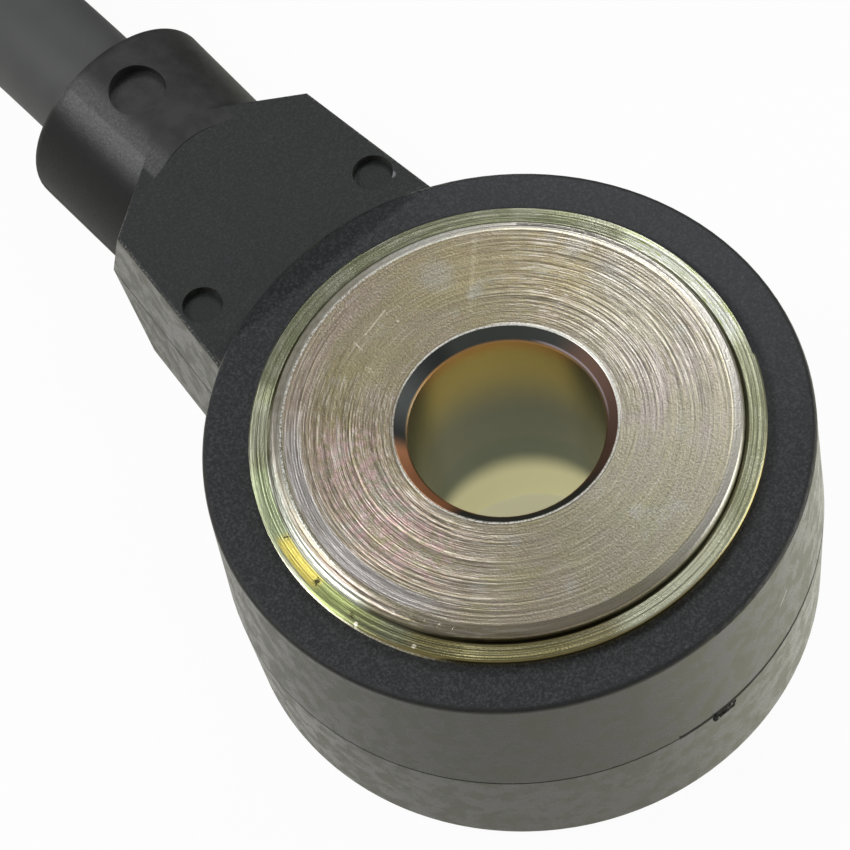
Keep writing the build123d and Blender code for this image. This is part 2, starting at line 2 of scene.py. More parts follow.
# # An engine knock sensor, dressed in Blender
# The sensor lies contact face up: a ring of glass-filled black plastic moulded round a turned and
# chromated steel bush, with a neck that leads into a round boss, and a rubber cable.
# The solids come ready made, in metres, from a fixed frame, so this lesson is about finishes, the
# cable and the light. The frame is loaded first.

# %% Load the frame
import math
import bpy
from mathutils import Matrix, Vector


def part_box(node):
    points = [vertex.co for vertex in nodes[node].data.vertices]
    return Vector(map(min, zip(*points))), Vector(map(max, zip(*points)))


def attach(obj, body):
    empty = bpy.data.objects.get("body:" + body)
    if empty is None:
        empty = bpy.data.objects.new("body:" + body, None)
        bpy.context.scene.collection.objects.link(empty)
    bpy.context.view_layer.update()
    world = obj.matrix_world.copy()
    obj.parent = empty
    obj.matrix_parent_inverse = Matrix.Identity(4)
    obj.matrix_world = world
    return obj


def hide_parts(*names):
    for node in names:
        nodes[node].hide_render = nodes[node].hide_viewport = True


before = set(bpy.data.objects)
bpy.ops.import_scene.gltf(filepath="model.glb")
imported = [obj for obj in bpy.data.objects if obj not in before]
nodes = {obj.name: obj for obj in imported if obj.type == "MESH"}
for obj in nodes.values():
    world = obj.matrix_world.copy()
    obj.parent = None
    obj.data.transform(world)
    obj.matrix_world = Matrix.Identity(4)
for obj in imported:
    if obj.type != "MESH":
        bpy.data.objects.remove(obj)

scene = bpy.context.scene
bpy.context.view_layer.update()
print("nodes loaded:", len(nodes))

# %% [markdown]
# ## Camera
# The photograph looks down at about 60 degrees, from a fifth of a metre away through a long lens, and
# the picture is turned a little. The camera's matrix has three columns: its right, its up and the
# direction back towards the viewer. Working the columns out from three angles keeps them square.

# %% Camera
MM = 0.001
PICTURE_PIXELS = 850
FOCAL_PIXELS = 5000
CAMERA_ELEVATION = math.radians(60.09)
CAMERA_ROLL = math.radians(-12.08)
CAMERA_TURN = math.radians(-29.88)
CAMERA_DISTANCE = 209.0 * MM
FACE_PIXEL = (505.6, 422.7)

face_centre = Vector((0, 0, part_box("bush")[1].z))
flat_right = Vector((1, 0, 0))
flat_back = Vector((0, -math.cos(CAMERA_ELEVATION), math.sin(CAMERA_ELEVATION)))
flat_up = flat_back.cross(flat_right)
turn = Matrix.Rotation(CAMERA_TURN, 3, "Z")
camera_right = turn @ (math.cos(CAMERA_ROLL) * flat_right + math.sin(CAMERA_ROLL) * flat_up)
camera_up = turn @ (math.cos(CAMERA_ROLL) * flat_up - math.sin(CAMERA_ROLL) * flat_right)
camera_back = turn @ flat_back
across = (FACE_PIXEL[0] - PICTURE_PIXELS / 2) / FOCAL_PIXELS
upward = (PICTURE_PIXELS / 2 - FACE_PIXEL[1]) / FOCAL_PIXELS
camera_place = face_centre + CAMERA_DISTANCE * (camera_back - across * camera_right - upward * camera_up)

bpy.ops.object.select_all(action="DESELECT")
bpy.ops.object.camera_add()
camera = bpy.context.object
camera.name = "camera"
camera.data.sensor_width = 36
camera.data.lens = FOCAL_PIXELS / PICTURE_PIXELS * camera.data.sensor_width
camera.data.clip_start = 0.01
camera.data.clip_end = 20
axes = Matrix((camera_right, camera_up, camera_back)).transposed()
camera.matrix_world = Matrix.Translation(camera_place) @ axes.to_4x4()
scene.camera = camera
scene.view_settings.view_transform = "Standard"
print("camera at", [round(v / MM, 1) for v in camera_place], "mm, lens", round(camera.data.lens, 1))

# %% [markdown]
# ## Cable
# The cable is a soft rubber tube of one fixed length, so it is drawn as a curve with a round bevel:
# the curve is the cable's middle line, and the bevel gives it its thickness. The bevel is one metre deep
# and each point's radius scales it down, which keeps Blender's box round the curve close to the cable.
# The points up to the coil are listed one by one; the coil's turns follow a circle, so a loop works them
# out. Two turns lie side by side on the table and a last half turn lies on top, and the end runs
# straight into the plug.

# %% Cable
CABLE_DIAMETER = 5.6 * MM
CLEARANCE = 0.05 * MM
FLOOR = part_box("bush")[0].z
LYING = FLOOR + CABLE_DIAMETER / 2
BOSS_END = Vector((0, 28.3 * MM, -0.3 * MM))
COIL_CENTRE = Vector((27.0 * MM, 66.0 * MM, 0))
INNER_TURN = 25.2 * MM
OUTER_TURN = INNER_TURN + CABLE_DIAMETER
TOP_TURN = INNER_TURN + CABLE_DIAMETER / 2
POINTS_PER_TURN = 18
COIL_START, COIL_END = 12.0, 900
COIL_HEADING = 195
INTO_PLUG = 6.0 * MM

cable_points = [
    Vector((0, 19.5 * MM, BOSS_END.z)),
    Vector((0, 31.5 * MM, BOSS_END.z)),
    Vector((0.4 * MM, 44.5 * MM, LYING + CLEARANCE)),
    Vector((0, 55.0 * MM, LYING + CLEARANCE)),
]


def ease(angle, start, end):
    """Rises smoothly from 0 at the start angle to 1 at the end angle."""
    share = min(max((angle - start) / (end - start), 0), 1)
    return share * share * (3 - 2 * share)


def coil_point(angle):
    """A point of the coil after turning clockwise through that many degrees."""
    inward = ease(angle, 305, 355)
    rising = ease(angle, 605, 660)
    outward = ease(angle, 625, 680)
    radius = OUTER_TURN + (INNER_TURN - OUTER_TURN) * inward + (TOP_TURN - INNER_TURN) * outward
    height = LYING + CABLE_DIAMETER * rising
    heading = math.radians(COIL_HEADING - angle)
    outside = radius / math.cos(math.pi / POINTS_PER_TURN)
    return COIL_CENTRE + Vector((outside * math.cos(heading), outside * math.sin(heading), height))


turned = COIL_START
while turned < COIL_END:
    cable_points.append(coil_point(turned))
    turned += 360 / POINTS_PER_TURN
cap_front, cap_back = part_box("connector_cap")
tail_x = (cap_front.x + cap_back.x) / 2
tail_z = (cap_front.z + cap_back.z) / 2
for tail_y in (60.0 * MM, 48.0 * MM, cap_front.y + INTO_PLUG):
    cable_points.append(Vector((tail_x, tail_y, tail_z)))

cable_curve = bpy.data.curves.new("cable", "CURVE")
cable_curve.dimensions = "3D"
cable_curve.resolution_u = 10
cable_curve.bevel_depth = 1.0
cable_curve.bevel_resolution = 10
cable_curve.use_fill_caps = True
spline = cable_curve.splines.new("NURBS")
spline.points.add(len(cable_points) - 1)
for point, place in zip(spline.points, cable_points):
    point.co = (*place, 1)
    point.radius = CABLE_DIAMETER / 2
spline.order_u = 3
spline.use_endpoint_u = True
cable = bpy.data.objects.new("cable", cable_curve)
scene.collection.objects.link(cable)
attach(cable, "root")
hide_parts("cable_lead", "cable_coil", "cable_tail")
print("cable points:", len(cable_points))

# %% [markdown]
# ## Table and light
# The sensor is photographed on white paper in soft light. The paper is a plain plane that keeps the
# object's shadow, and is lifted to white where the camera or a reflection looks at it. Large square
# lamps act as soft boxes: they give the metal something bright to mirror and the shadows soft edges.

# %% Table and light
LAMP_DISTANCE = 0.8

bpy.ops.object.select_all(action="DESELECT")
bpy.ops.mesh.primitive_plane_add(size=3.0, location=(0, 0, FLOOR))
table = bpy.context.object
table.name = "table"


def soft_box(name, azimuth, elevation, size, power):
    """Adds a square lamp that faces the sensor from a direction given in degrees."""
    around, rise = math.radians(azimuth), math.radians(elevation)
    towards = Vector((math.cos(rise) * math.cos(around), math.cos(rise) * math.sin(around), math.sin(rise)))
    bpy.ops.object.select_all(action="DESELECT")
    bpy.ops.object.light_add(type="AREA", location=towards * LAMP_DISTANCE)
    lamp = bpy.context.object
    lamp.name = name
    lamp.data.shape = "SQUARE"
    lamp.data.size = size
    lamp.data.energy = power
    lamp.rotation_euler = towards.to_track_quat("Z", "Y").to_euler()


soft_box("back_soft_box", 138, 48, 0.26, 2.2)
soft_box("right_soft_box", 41, 48.5, 0.22, 0.8)
soft_box("side_soft_box", -35, 12, 0.40, 1.5)
soft_box("low_soft_box", -62, 25, 0.05, 0.02)

# %% [markdown]
# ## A short way to write shader maths
# A finish is a network of nodes. Clicking it together is slow to read as code, so one small class wraps
# a socket: adding or multiplying two of them adds a Math node. Everything else goes through one method,
# which takes the node's kind, its settings and what its sockets get. Most finishes are then painted in
# layers, each with a mask that says where it goes and a colour.


# %% Shader helpers
class Wire:
    """The value that leaves one socket. The usual operators add a Math node and give its result."""

    def __init__(self, socket):
        self.socket = socket

    def math(self, operation, first, second=0.0):
        sockets = {0: first, 1: second}
        return add_node(self.socket.id_data, "ShaderNodeMath", {"operation": operation}, sockets)

    def __add__(self, other):
        return self.math("ADD", self, other)

    def __radd__(self, other):
        return self.math("ADD", other, self)

    def __sub__(self, other):
        return self.math("SUBTRACT", self, other)

    def __rsub__(self, other):
        return self.math("SUBTRACT", other, self)

    def __mul__(self, other):
        return self.math("MULTIPLY", self, other)

    def __rmul__(self, other):
        return self.math("MULTIPLY", other, self)

    def __truediv__(self, other):
        return self.math("DIVIDE", self, other)

    def __pow__(self, other):
        return self.math("POWER", self, other)

    def __abs__(self):
        return self.math("ABSOLUTE", self)

    def at_least(self, other):
        return self.math("MAXIMUM", self, other)

    def at_most(self, other):
        return self.math("MINIMUM", self, other)

    def between(self, low, high):
        """0 below low, 1 above high, with a smooth rise; falls instead where low is above high."""
        if low > high:
            return 1 - self.between(high, low)
        settings = {"interpolation_type": "SMOOTHSTEP"}
        sockets = {0: self, 1: low, 2: high, 3: 0.0, 4: 1.0}
        return add_node(self.socket.id_data, "ShaderNodeMapRange", settings, sockets)

    def band(self, middle, half_width, softness):
        """1 within half_width of middle, fading to 0 over softness."""
        return abs(self - middle).between(half_width + softness, half_width)


def add_node(tree, kind, settings=None, inputs=None, output=0):
    """Adds a node, sets it up, fills or links its sockets, and returns the wire of one output."""
    node = tree.nodes.new(kind)
    for name, value in (settings or {}).items():
        setattr(node, name, value)
    for name, value in (inputs or {}).items():
        if isinstance(value, Wire):
            tree.links.new(value.socket, node.inputs[name])
        elif isinstance(value, tuple) and len(value) == 3 and len(node.inputs[name].default_value) == 4:
            node.inputs[name].default_value = (*value, 1)
        else:
            node.inputs[name].default_value = value
    return Wire(node.outputs[output])


class Finish:
    """A material with a Principled shader, and the coordinates that its pattern follows."""

    def __init__(self, name):
        self.material = bpy.data.materials.new(name)
        self.material.use_nodes = True
        self.tree = self.material.node_tree
        self.shader = self.tree.nodes["Principled BSDF"]

    def node(self, kind, settings=None, inputs=None, output=0):
        return add_node(self.tree, kind, settings, inputs, output)

    def millimetres(self):
        """The place on the object in millimetres."""
        place = self.node("ShaderNodeTexCoord", output="Object")
        return self.node("ShaderNodeVectorMath", {"operation": "SCALE"}, {0: place, "Scale": 1000.0})

    def parts(self, vector):
        """The x, y and z wires of a vector."""
        split = self.node("ShaderNodeSeparateXYZ", None, {0: vector}).socket.node
        return [Wire(socket) for socket in split.outputs]

    def join(self, x, y, z):
        return self.node("ShaderNodeCombineXYZ", None, {0: x, 1: y, 2: z})

    def noise(self, vector, scale, detail=2.0, roughness=0.5):
        inputs = {"Vector": vector, "Scale": scale, "Detail": detail, "Roughness": roughness}
        return self.node("ShaderNodeTexNoise", None, inputs)

    def mix(self, factor, first, second):
        """Goes from the first colour to the second."""
        sockets = {0: factor, 6: first, 7: second}
        return self.node("ShaderNodeMix", {"data_type": "RGBA"}, sockets, output=2)

    def paint(self, ground, *layers):
        """Lays colours over a ground, one after the other, each through its own mask."""
        for mask, colour in layers:
            ground = self.mix(mask, ground, colour)
        return ground

    def bump(self, height_mm, strength=1.0):
        """Turns a height in millimetres into a normal."""
        sockets = {"Strength": strength, "Distance": MM, "Height": height_mm}
        return self.node("ShaderNodeBump", None, sockets)

    def set(self, **inputs):
        """Sets or links the shader's sockets, named with underscores for spaces."""
        for name, value in inputs.items():
            socket = self.shader.inputs[name.replace("_", " ").title()]
            if isinstance(value, Wire):
                self.tree.links.new(value.socket, socket)
            elif isinstance(value, tuple):
                socket.default_value = (*value, 1)
            else:
                socket.default_value = value

    def put_on(self, *names):
        """Gives the finish to CAD nodes and pieces."""
        for name in names:
            piece = nodes.get(name) or bpy.data.objects[name]
            piece.data.materials.clear()
            piece.data.materials.append(self.material)


# %% [markdown]
# ## White paper and surroundings
# Where the camera or a reflection looks straight at the paper it is almost all plain white light, with
# a share of the lit surface so that the shadow stays. The paper at the bottom of the bore gets less of
# that light, and is creamier, because the light reaches it along yellow walls. A reflection finds the
# paper brighter on the side of the window. The surroundings are one even grey down to a darker horizon,
# and white to the camera.

# %% Paper and surroundings
PAPER_REACH = 170.0
BORE_SHADE = 6.5
WINDOW_HEADING = math.radians(-25)
PLAIN_WHITE, CREAM = (1.0, 1.0, 1.0), (1.0, 0.96, 0.61)

paper = Finish("white_paper")
x, y, z = paper.parts(paper.millimetres())
away = (x * x + y * y) ** 0.5
in_bore = away.between(4.9, 4.5)
paper.set(base_color=paper.mix(in_bore, (0.9, 0.9, 0.89), (0.9, 0.87, 0.66)), roughness=0.9)
ray = paper.node("ShaderNodeLightPath").socket.node
camera_ray, glossy_ray, clear_ray = (
    Wire(ray.outputs[f"Is {kind} Ray"]) for kind in ("Camera", "Glossy", "Transmission")
)
window_side = (x * math.cos(WINDOW_HEADING) + y * math.sin(WINDOW_HEADING)).between(-16.0, 10.0)
mirrored = glossy_ray.at_least(clear_ray) * away.between(2 * PAPER_REACH, PAPER_REACH)
mirrored = mirrored * (0.45 + 0.55 * window_side)
seen = camera_ray.at_least(mirrored)
bore_lift = (0.52 - 0.17 * camera_ray) * in_bore
lift = seen * (0.96 * away.between(BORE_SHADE - 1, BORE_SHADE) + bore_lift)
white = paper.node("ShaderNodeEmission", None, {"Color": PLAIN_WHITE, "Strength": 1.0})
cream = paper.node("ShaderNodeEmission", None, {"Color": CREAM, "Strength": 1.0})
creamy = in_bore.at_least(glossy_ray * 0.35)
glow = paper.node("ShaderNodeMixShader", None, {0: creamy, 1: white, 2: cream})
lit = Wire(paper.shader.outputs[0])
paper_mix = paper.node("ShaderNodeMixShader", None, {0: lift, 1: lit, 2: glow})
paper.tree.links.new(paper_mix.socket, paper.tree.nodes["Material Output"].inputs["Surface"])
table.data.materials.append(paper.material)

world = bpy.data.worlds.new("surroundings")
scene.world = world
world.use_nodes = True
sky = world.node_tree
to_camera = Wire(add_node(sky, "ShaderNodeLightPath").socket.node.outputs["Is Camera Ray"])
direction = add_node(sky, "ShaderNodeTexCoord", output="Generated")
height = Wire(add_node(sky, "ShaderNodeSeparateXYZ", None, {0: direction}).socket.node.outputs[2])
overhead = 0.08 + 0.24 * height.between(0.0, 0.3)
grey = add_node(sky, "ShaderNodeBackground", None, {"Color": PLAIN_WHITE, "Strength": overhead})
plain = add_node(sky, "ShaderNodeBackground", None, {"Color": PLAIN_WHITE, "Strength": 1.0})
sky_mix = add_node(sky, "ShaderNodeMixShader", None, {0: to_camera, 1: grey, 2: plain})
sky.links.new(sky_mix.socket, sky.nodes["World Output"].inputs["Surface"])
print("paper and surroundings set")

# %% [markdown]
# ## Black moulding
# Glass-filled plastic comes out of its mould with a sparkling grain on top and smoother drafted walls,
# which dust makes lighter and greener. The two halves of the mould leave a thin dark line round the ring
# and the neck. The masks come from the surface's direction and place, so the dust keeps to the walls.
# All places here are in millimetres.

# %% Masks of the housing
PARTING = -0.7
BOSS_HEIGHT = -0.3
PLATE_HEIGHT = 4.15
PLATE_ARC_MIDDLE, PLATE_ARC_RADIUS = 14.8, 7.05

housing = Finish("moulded_black_plastic")
place = housing.millimetres()
x, y, z = housing.parts(place)
upward_facing = housing.parts(housing.node("ShaderNodeNewGeometry", output="Normal"))[2]
top_mask = upward_facing.between(0.5, 0.9)
axis_distance = (x * x + (z - BOSS_HEIGHT) * (z - BOSS_HEIGHT)) ** 0.5
arc_y = y - PLATE_ARC_MIDDLE
arc_distance = (x * x + arc_y * arc_y) ** 0.5
on_plate = arc_distance.between(PLATE_ARC_RADIUS + 0.03, PLATE_ARC_RADIUS - 0.03) * y.between(11.5, 13.5)
boss_mask = axis_distance.between(5.05, 4.95) * y.between(17.0, 19.0) * (1 - on_plate)
wall_mask = (1 - top_mask) * (1 - boss_mask)
neck_mask = y.between(11.5, 13.5)
recess_floor = z.between(4.06, 4.0) * top_mask * y.between(13.5, 14.0)
grain = housing.noise(place, 8.0, 3.0, 0.65)
sparkle = housing.noise(place, 9.0, 3.0, 0.7)
cloud = housing.noise(place, 1.1, 2.0, 0.6)
brushed = housing.noise(housing.join(x * 0.5, y * 0.5, z * 3.0), 2.2, 3.0, 0.6)
print("housing masks ready")

# %% [markdown]
# ## Colours of the moulding
# The top is near black with pale grains of glass, and painted light makes it paler at the front right.
# The boss is smoother, with a painted highlight along its crest and painted shade on its dark side. The
# dusty walls get painted light towards the front right and end in a dark foot.

# %% Colours of the housing
top_colour = housing.paint(
    (0.007, 0.0095, 0.0105),
    # Painted light: the top is paler at the front right.
    (x.between(-2.0, 12.0) * y.between(-14.0, 0.0), (0.036, 0.038, 0.041)),
    (neck_mask, (0.014, 0.017, 0.0165)),
    (sparkle.between(0.40, 0.78) * (0.75 - 0.4 * neck_mask), (0.088, 0.094, 0.099)),
    # Painted shade on the floors of the pin recesses.
    (recess_floor * 0.8, (0.006, 0.009, 0.0095)),
)
# A painted highlight along the boss's crest.
painted_crest_highlight = x.band(-2.0, 0.3, 0.9) * (0.4 + 0.6 * sparkle.between(0.40, 0.65))
boss_colour = housing.paint(
    (0.018, 0.0185, 0.018),
    (cloud.between(0.3, 0.7), (0.034, 0.035, 0.034)),
    # Painted shade on the boss's dark side.
    (x.between(-2.6, -3.4), (0.002, 0.0025, 0.003)),
    (painted_crest_highlight, (0.110, 0.109, 0.112)),
)
FRONT_RIGHT = (0.62, -0.78, 0.0)
to_front_right = housing.node(
    "ShaderNodeVectorMath", {"operation": "DOT_PRODUCT"}, {0: place, 1: FRONT_RIGHT}, output=1,
)
# Painted light: the dusty walls are paler towards the front right.
painted_light_on_dust = housing.mix(cloud.between(0.34, 0.64), (0.130, 0.126, 0.122), (0.162, 0.168, 0.110))
dust_and_painted_light = housing.paint(
    (0.030, 0.028, 0.034),
    (cloud.between(0.32, 0.66), (0.058, 0.061, 0.042)),
    (brushed.between(0.5, 0.7) * 0.3, (0.070, 0.070, 0.052)),
    (to_front_right.between(6.0, 13.0) * 0.85, painted_light_on_dust),
    (z.between(-6.45, -6.75) * 0.7, (0.030, 0.022, 0.012)),
)
print("housing colours ready")

# %% [markdown]
# ## Marks on the moulding
# The last layers are small: the parting line with a tick where it widens, the darker line along the
# ring's upper edge, a painted highlight along the plate's edge, a painted glint in one pin mark and a nick
# in the wall. The boss stands a hair above the neck's plate, so the bump levels it, and the plate looks
# flat up to its arc.

# %% Marks and housing finish
ring_distance = (x * x + y * y) ** 0.5
line_width = 0.018 + 0.08 * x.between(-2.35, -2.25) * y.between(-2.0, -4.0)
parting_line = (abs(z - PARTING) - line_width).between(0.06, 0.0) * (1 - upward_facing.between(0.3, 0.6))
tick = x.band(-2.28, 0.03, 0.03) * z.band(-0.68, 0.14, 0.04) * y.between(0.0, -1.0)
parting_line = parting_line.at_least(tick)
edge_line = ring_distance.between(12.70, 12.84) * z.between(5.72, 5.86) * y.between(9.5, 8.0)
# A painted highlight along the plate's edge, broken into specks.
painted_plate_edge_highlight = upward_facing.band(0.7, 0.2, 0.1) * z.band(4.08, 0.10, 0.04) * sparkle.between(0.50, 0.58)
painted_plate_edge_highlight = painted_plate_edge_highlight * abs(x).between(2.6, 2.9) * y.between(21.5, 20.5)
# A painted glint on the rim of one pin mark.
glint_x, glint_y = x - 5.40, y - 14.30
glint = ((glint_x * glint_x + glint_y * glint_y) ** 0.5).between(0.24, 0.10) * z.between(3.85, 4.0)
wall_nick = x.band(4.27, 0.28, 0.05) * (z - 0.7 * x).band(-0.41, 0.05, 0.04) * y.between(0.0, -1.0)
body_colour = housing.paint(
    top_colour,
    (boss_mask, boss_colour),
    (wall_mask, dust_and_painted_light),
    (parting_line * (0.55 + 0.45 * brushed), (0.006, 0.006, 0.006)),
    (edge_line * 0.7, (0.010, 0.010, 0.010)),
    (painted_plate_edge_highlight * 0.5, (0.26, 0.26, 0.25)),
    (glint, (0.24, 0.26, 0.27)),
    (wall_nick, (0.55, 0.55, 0.46)),
)
hump = z.at_least(PLATE_HEIGHT) - PLATE_HEIGHT
surface_height = grain * (0.008 + 0.022 * top_mask) + sparkle * 0.008 * top_mask - parting_line * 0.05
surface_height = surface_height - hump * on_plate * 1.6
base_roughness = 0.46 + 0.25 * grain - 0.36 * wall_mask - 0.02 * boss_mask - 0.12 * recess_floor
housing.set(
    base_color=body_colour,
    roughness=base_roughness + cloud.between(0.38, 0.62) * wall_mask * 0.16 + 0.6 * parting_line,
    normal=housing.bump(surface_height, 0.6),
)
housing.put_on("housing")
print("housing finish set")

# %% [markdown]
# ## Flash on the parting line
# Where the mould's halves didn't quite meet, a crumb of plastic was pressed out at the front. It starts
# as a small box, is divided, shaken by a fixed seed and rounded by a subdivision, so that it looks torn.

# %% Flash
CRUMB_PLACE = (0.04 * MM, -12.96 * MM, -1.0 * MM)
CRUMB_SIZE = (1.15 * MM, 0.20 * MM, 0.46 * MM)

bpy.ops.object.select_all(action="DESELECT")
bpy.ops.mesh.primitive_cube_add(size=1.0, location=CRUMB_PLACE, scale=CRUMB_SIZE)
crumb = bpy.context.object
crumb.name = "parting_flash"
bpy.ops.object.transform_apply(location=True, rotation=False, scale=True)
bpy.ops.object.mode_set(mode="EDIT")
bpy.ops.mesh.select_all(action="SELECT")
bpy.ops.mesh.subdivide(number_cuts=3)
bpy.ops.transform.vertex_random(offset=0.21 * MM, seed=4)
bpy.ops.mesh.normals_make_consistent(inside=False)
bpy.ops.object.mode_set(mode="OBJECT")
rounding = crumb.modifiers.new("rounding", "SUBSURF")
rounding.levels = rounding.render_levels = 2
bpy.ops.object.modifier_apply(modifier=rounding.name)
bpy.ops.object.shade_smooth()
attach(crumb, "root")

flash = Finish("pressed_out_plastic")
flash_grain = flash.noise(flash.millimetres(), 6.0, 3.0, 0.6)
flash_colour = flash.paint(
    (0.004, 0.004, 0.004),
    (flash_grain.between(0.3, 0.7), (0.030, 0.031, 0.025)),
    # A painted glint in the crumb.
    (flash_grain.between(0.60, 0.66), (0.42, 0.42, 0.37)),
)
flash.set(
    base_color=flash_colour,
    roughness=0.75 + 0.2 * flash_grain,
    normal=flash.bump(flash_grain * 0.03, 0.8),
)
flash.put_on(crumb.name)
print("flash faces:", len(crumb.data.polygons))

# %% [markdown]
# ## Turned and chromated steel
# The face was turned on a lathe: the tool leaves rings, which reflect the lamps in two bright sectors.
# The rings come from noise that varies along the radius and hardly along the circle. Their height goes
# to a bump, so light moves over them as over real grooves.

# %% Places on the bush
steel = Finish("turned_chromated_steel")
place = steel.millimetres()
x, y, z = steel.parts(place)
radius = (x * x + y * y) ** 0.5
around_x, around_y = x / radius, y / radius
speckle = steel.noise(place, 10.0, 2.0, 0.6)


def rings(scale, detail, drift=0.05):
    """Noise along the radius, which drifts a little round the circle."""
    return steel.noise(steel.join(radius, around_x * drift, around_y * drift), scale, detail, 0.5)


def sector(heading, half_angle, softness=12.0):
    """1 where the direction from the middle lies within half_angle of a heading, in degrees."""
    aim = math.radians(heading)
    facing = around_x * math.cos(aim) + around_y * math.sin(aim)
    faded, full = math.radians(half_angle + softness), math.radians(half_angle)
    return facing.between(math.cos(faded), math.cos(full))


def spot(centre_x, centre_y, size, softness, wobble=0.0):
    """1 near a point of the face, fading out over softness, with an uneven edge."""
    distance = ((x - centre_x) * (x - centre_x) + (y - centre_y) * (y - centre_y)) ** 0.5
    return (distance + wobble * (speckle - 0.5)).between(size + softness, size)


def scratch(start, end, width):
    """1 along a straight line from start to end."""
    run_x, run_y = end[0] - start[0], end[1] - start[1]
    share = ((x - start[0]) * run_x + (y - start[1]) * run_y) / (run_x * run_x + run_y * run_y)
    share = share.at_least(0.0).at_most(1.0)
    off_x, off_y = x - start[0] - share * run_x, y - start[1] - share * run_y
    return ((off_x * off_x + off_y * off_y) ** 0.5).between(width, width / 3)


print("places on the bush ready")

# %% [markdown]
# ## Relief of the face
# Three sizes of ring lie over each other, deeper in the two sectors that shine. The face's worn edge
# leans outwards like a shallow cone before it rounds off. On the left the step itself is worn and
# catches the lamp, and a fine burr runs round the bore's mouth.

# %% Turned rings
FACE_HEIGHT = 7.0
EDGE_START, ROUND_START, ROUND_SIZE, ROUND_END = 9.5, 9.65, 0.35, 9.86

wide_rings, fine_rings, hair_rings = rings(3.6, 1.0), rings(8.0, 1.0, 0.12), rings(18.0, 1.0, 0.12)
ring_groups = rings(1.3, 0.0, 0.3).between(0.35, 0.65)
on_top = radius.between(4.7, 4.8)
ring_height = wide_rings * 0.014 + fine_rings * 0.020 * (0.4 + ring_groups) + hair_rings * 0.010
shine = sector(172, 38, 30) + sector(8, 27, 26)
ring_height = ring_height * (0.38 + 0.62 * shine) + speckle * 0.010

edge_slope = 0.15 + 0.30 * sector(178, 45, 50)
reach = radius.at_least(EDGE_START).at_most(ROUND_END)
roll = (reach - ROUND_START).at_least(0.0) / ROUND_SIZE
worn_edge = (1 - (1 - roll * roll) ** 0.5) * ROUND_SIZE - (reach - EDGE_START) * edge_slope
worn_step = (FACE_HEIGHT - z) * 1.8 * radius.between(9.0, 9.3) * sector(174, 12, 38)
burr = radius.band(4.76, 0.01, 0.08) * 0.014
print("rings ready")

# %% [markdown]
# ## Chromate colours
# Yellow chromate is a thin film, so its colour wanders between tan, rose, straw and olive, mostly along
# the turned rings. Handling leaves grey stains, fine scratches and pale specks. Masks by sector and
# radius put each tint where the photograph has it.

# %% Film and marks on the face
TAN, ROSE, OLIVE = (0.46, 0.395, 0.245), (0.49, 0.385, 0.35), (0.37, 0.36, 0.235)
# The pale colour serves real pale marks and painted highlights.
STRAW, PEWTER, PALE_MARK_AND_HIGHLIGHT = (0.55, 0.49, 0.31), (0.48, 0.475, 0.43), (0.90, 0.84, 0.66)

around_patches = steel.join(radius * 0.7, around_x * 2.5, around_y * 2.5)
patches = steel.noise(around_patches, 1.1, 3.0, 0.6)
mottle = steel.noise(place, 2.6, 3.0, 0.65)
stains = spot(2.5, 7.5, 0.25, 0.9, 1.5) + spot(8.1, 2.5, 0.3, 0.9, 1.5)
stains = stains + steel.noise(place, 0.45, 3.0, 0.6).between(0.60, 0.70)
marks = scratch((-1.54, 7.36), (-0.13, 7.71), 0.05) * 0.7
marks = marks + scratch((-2.1, 7.43), (-2.1, 6.89), 0.05) * 0.7
marks = marks + scratch((-2.51, 6.14), (-2.46, 5.74), 0.05) * 0.6
marks = marks + spot(-0.08, 6.91, 0.03, 0.06) * 0.7
marks = marks + scratch((5.1, 7.9), (2.5, 5.2), 0.16) * 0.15
marks = marks + speckle.between(0.76, 0.82) * 0.8
film_colour = steel.paint(
    TAN,
    (patches.between(0.42, 0.60), ROSE),
    # Painted shade: the film is darker towards the back.
    (sector(55, 50, 30) * 0.7, (0.37, 0.325, 0.205)),
    (sector(170, 30, 25) * radius.band(8.6, 0.5, 0.8) * 0.6, ROSE),
    (sector(140, 30, 25) * radius.band(6.9, 0.5, 0.9) * 0.5, STRAW),
    # Painted shade: the film is darker on the left.
    (sector(152, 16, 20) * 0.6, (0.31, 0.265, 0.16)),
    (sector(-150, 25, 25) * radius.band(5.8, 0.4, 0.8) * 0.6, ROSE),
    (sector(-45, 45, 30) * 0.5, PEWTER),
    (sector(-110, 40, 30) * 0.5, OLIVE),
    (sector(112, 16, 14) * radius.band(8.9, 0.4, 0.4) * 0.6, ROSE),
    (sector(130, 14, 14) * radius.band(7.3, 0.6, 0.8) * 0.55, (0.36, 0.31, 0.14)),
    (sector(172, 9, 9) * radius.band(5.9, 0.3, 0.4) * 0.55, (0.36, 0.40, 0.31)),
    (sector(52, 22, 15) * radius.band(7.8, 0.8, 0.8) * 0.45, (0.44, 0.37, 0.17)),
    (fine_rings.between(0.5, 0.68) * 0.35, STRAW),
    (mottle.between(0.5, 0.72) * 0.55, OLIVE),
    (stains * (0.35 + 0.5 * mottle), PEWTER),
    (speckle.between(0.50, 0.76) * 0.6, (0.25, 0.22, 0.155)),
    (marks.at_most(1.0), PALE_MARK_AND_HIGHLIGHT),
)
print("film ready")
